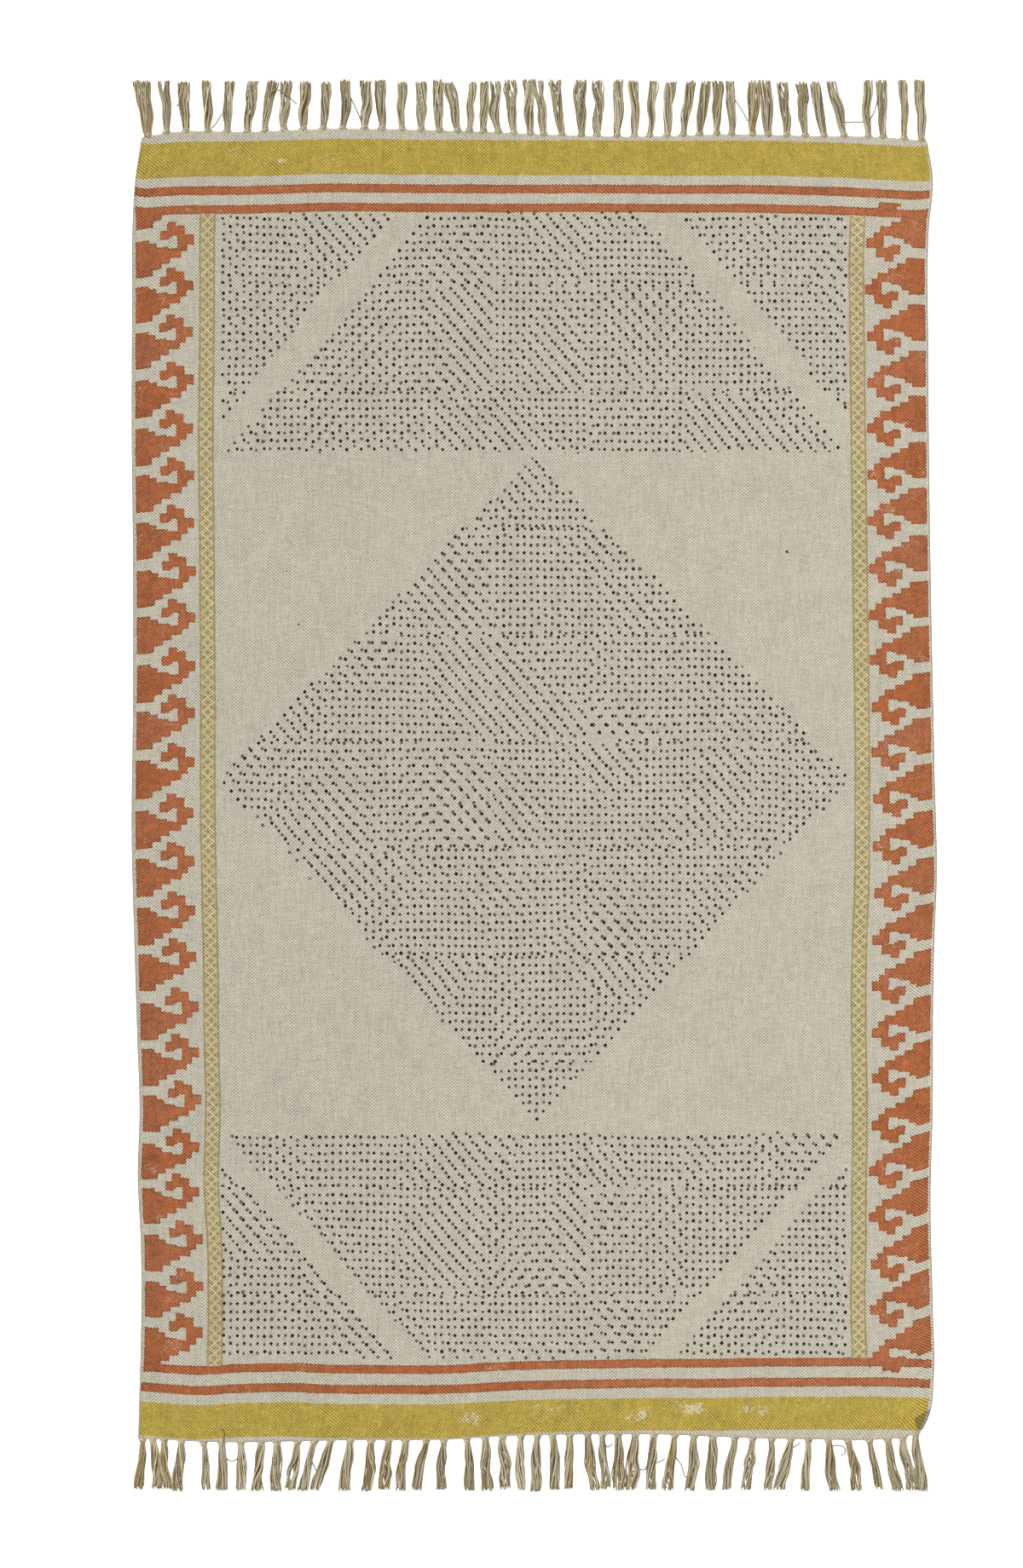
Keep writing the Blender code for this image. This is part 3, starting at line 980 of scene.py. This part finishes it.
# Yarns that strayed from their tassels, as points on the floor in mm with a height.
STRAYS = [
    [(-303, 786, 4), (-301, 792, 4.6), (-293, 795, 4.6), (-283, 789, 4.4), (-271, 779, 2.2)],
    [(355, 758, 1.5), (366, 759, 0.8), (376, 759, 1.5)]
    + [(385, 763, 4.2), (391, 777, 4.4), (393, 790, 4)],
    [(-213, 804, 1), (-211, 790, 1), (-204, 775, 1), (-198, 760, 1.6)],
    [(226, 789, 3), (234, 778, 0.8), (240, 768, 0.8), (244, 760, 2)],
    [(-368, 752, 1.6), (-364, 757, 1), (-360, 763, 1.5), (-357, 768, 3)],
    [(-408, 802, 3), (-404, 796, 1), (-404, 784, 0.8), (-409, 776, 3)],
    [(-355, -762, 3), (-352, -770, 0.8), (-345, -773, 0.8), (-338, -769, 0.8), (-334, -764, 3)],
    [(-357, -735, 4.6), (-355, -741, 4.4), (-355, -748, 4.2), (-357, -756, 3.6)],
    [(295, -758, 2), (299, -756, 0.9), (304, -752, 2)],
    [(141, -775, 1), (145, -773, 0.8), (150, -770, 2.6)],
    [(162, -757, 2), (162, -768, 0.8), (168, -777, 0.8), (172, -789, 0.8), (176, -793, 0.8)],
    [(-60, -757, 2), (-56, -768, 0.8), (-61, -774, 0.8), (-59, -782, 1), (-55, -787, 2.4)],
    [(79, -751, 2.6), (84, -757, 0.9), (90, -753, 2.6)],
    [(336, -757, 2.4), (345, -755, 0.9), (354, -757, 0.9), (356, -763, 0.8), (351, -767, 0.8)],
    [(112, -786, 2), (118, -782, 0.8), (126, -783, 0.8), (130, -776, 0.8), (134, -768, 2.6)],
    [(-248, -786, 2), (-252, -778, 0.8), (-256, -770, 2)],
]


class Fringe:
    """One end's yarns and knots: side is 1 at the far end and -1 at the near end."""

    POINTS = 18  # along a yarn
    THIN, THICK = 0.7, 0.9  # a yarn's radius, mm
    UNDER = (-0.6, -0.2, 0.2, 0.6)  # the lanes of the straighter yarns underneath

    def __init__(self, cloth, side, node, seed):
        self.rng = random.Random(seed)
        self.side, self.node = side, node
        self.yarns, self.knots = Tubes(), Tubes()
        self.edge = cloth.far if side > 0 else cloth.near
        self.tassels = tassels(node)

    def edge_y(self, x):
        return np.interp(x, self.edge[:, 0], self.edge[:, 1])

    def tassel(self, root, reach, full):
        """A loosely twisted bundle of yarns, which spreads towards its tip."""
        rng, side, n = self.rng, self.side, self.POINTS
        place = np.linspace(0, 1, n)
        full *= rng.uniform(0.9, 1.15)
        width = np.interp(place, [0, 0.1, 0.35, 0.7, 1], [2.5, 3.3, 5.2, 5.7, 6.2]) * full
        high = np.interp(place, [0, 0.15, 0.6, 1], [1.1, 1.5, 1.3, 0.8])
        bend = wander(rng, n, 2.4, 3) * np.sin(np.pi * place)
        twist = rng.choice([-1, 1]) * rng.uniform(0.12, 0.5)
        warm = rng.random() ** 1.3
        # A gap that the yarns part round.
        gap = rng.choice([0, 0, 0.5, 1.0, 2.0])
        gap_lane, gap_place = rng.uniform(-0.7, 0.7), rng.uniform(0.4, 1.0)
        gap_long = rng.uniform(0.08, 0.2)
        middle = root[0] + reach[0] * place + bend
        # The yarns start inside the knot, a little way in from the cloth's edge.
        start, run = root[1] - side, reach[1] + side
        for lane in self.UNDER:
            x = middle + (lane + gap_lane * gap * 0.1) * width
            x = x + gap * np.sign(lane) * place + wander(rng, n, 0.5, 5) * place
            y = start + run * place * rng.uniform(0.93, 0.98)
            path = np.stack([x, y, np.full(n, 0.8)], -1)
            # The yarns underneath get painted shade.
            self.yarns.add(path, 0.95, rng.random(), warm, 0.6)
        count = round(rng.choice([14, 15, 16]) * full)
        for k in range(count):
            turn = (k + rng.uniform(-0.3, 0.3)) / count
            turn = turn + (twist + rng.uniform(-0.1, 0.1)) * place
            off = math.sqrt(rng.uniform(0.1, 1.0))
            across = off * np.cos(2 * np.pi * turn)
            above = off * np.sin(2 * np.pi * turn)
            parted = gap * np.tanh((across - gap_lane) * 4)
            parted = parted * np.exp(-(((place - gap_place) / gap_long) ** 2))
            x = middle + across * width + parted + wander(rng, n, 0.9, 7) * place**0.5
            y = start + run * place * (1.0 - rng.random() ** 3 * 0.07)
            z = 0.85 + high * (1.0 + above) + 0.2 * wander(rng, n, 1, 4)
            dyed = rng.random() ** 1.5 * 0.95 * warm
            # Painted shade: the lower yarns of a bundle are darkened, as they lie in the shade
            # of the others.
            painted_shade = np.clip(rng.choice([0.25, 0.3, 0.4, 0.8]) - above * 0.8, 0, 0.9)
            painted_shade = painted_shade * np.interp(place, [0, 0.1, 1], [0.4, 1, 0.8])
            thick = rng.uniform(self.THIN, self.THICK)
            radius = np.interp(place, [0, 0.95, 1], [thick, thick, thick * 0.6])
            path = np.stack([x, y, np.clip(z, 0.6, None)], -1)
            self.yarns.add(path, radius, rng.random(), dyed, painted_shade)

    def knot(self, root, reach):
        """A knot: yarns that leave the cloth's edge in a fan, and two turns across them."""
        rng, side = self.rng, self.side
        lean = reach[0] / max(abs(reach[1]), 1)
        y = np.array([-2.4, -0.8, 0.8, 2.4, 4.0, 5.4])
        fan = np.array([5.8, 5.2, 4.3, 3.4, 2.9, 2.4])
        crown = np.array([2.5, 3.1, 3.3, 3.0, 2.4, 1.5])
        for k in range(7):
            lane = k / 3 - 1
            x = lane * fan + np.clip(y, 0, None) * lean + rng.uniform(-0.3, 0.3)
            z = crown - 1.1 * abs(lane) + rng.uniform(-0.2, 0.2)
            path = np.stack([root[0] + x, root[1] + side * y, z], -1)
            # Every other yarn of a knot gets a little painted shade.
            self.knots.add(path, 0.85, rng.uniform(0.35, 0.9), 0.0, 0.15 if k % 2 else 0.0)
        around = np.linspace(-0.1, 1.1, 9) * np.pi
        for start, tilt in ((1.2, 0.9), (3.0, -0.7)):
            turn_x = root[0] - 3.3 * np.cos(around) + start * lean
            turn_y = root[1] + side * (start + tilt * np.cos(around))
            path = np.stack([turn_x, turn_y, 1.0 + 2.9 * np.sin(around)], -1)
            self.knots.add(path, 0.85, rng.uniform(0.4, 0.9))

    def edge_cord(self):
        """The twisted yarns along the cloth's end, which each knot draws outwards."""
        low, high = self.edge[0, 0] + 1.5, self.edge[-1, 0] - 1.5
        x = np.linspace(low, high, round((high - low) / 1.3))
        roots = np.array([tassel.root[0] for tassel in self.tassels])
        away = abs(x[:, None] - roots).min(1)
        drawn = 0.9 * np.exp(-((away / 4.0) ** 2)) - 0.5
        for phase in (0, math.pi):
            turn = x * (2 * math.pi / 6.5) + phase
            y = self.edge_y(x) + self.side * (drawn + 0.55 * np.cos(turn))
            z = 1.9 + 0.55 * np.sin(turn)
            self.knots.add(np.stack([x, y, z], -1), 0.72, 0.55)

    def stray_yarns(self):
        for points in STRAYS:
            if points[0][1] * self.side > 0:
                # Stray yarns get a little painted shade.
                self.yarns.add(smooth_route(points), 0.75, 0.2, 0.3, 0.25)

    def pieces(self, material):
        for tassel in self.tassels:
            root = np.array([tassel.root[0], self.edge_y(tassel.root[0])])
            reach = tassel.tip - root
            # The tassel at the far left corner is two tied as one.
            corner = root[0] < -435 and self.side > 0
            self.tassel(root, reach, 1.8 if corner else 1.0)
            self.knot(root, reach)
        self.edge_cord()
        self.stray_yarns()
        end = self.node.split("_")[1]
        return (
            self.yarns.piece(f"yarns_{end}", material),
            self.knots.piece(f"knots_{end}", material),
        )


# -------- everything together


def main():
    add_camera()
    floor = add_surroundings()
    cotton = Print().build()
    yarn = yarn_material()
    cloth = Cloth()
    sheet = cloth_piece(cloth, cotton)
    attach(sheet, "root")
    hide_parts("rug_cloth")
    loose = []
    for side, node, seed in ((1, "fringe_far", 31), (-1, "fringe_near", 47)):
        yarns, knots = Fringe(cloth, side, node, seed).pieces(yarn)
        for piece in (yarns, knots):
            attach(piece, "root")
        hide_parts(node)
        loose += [yarns, knots]


main()
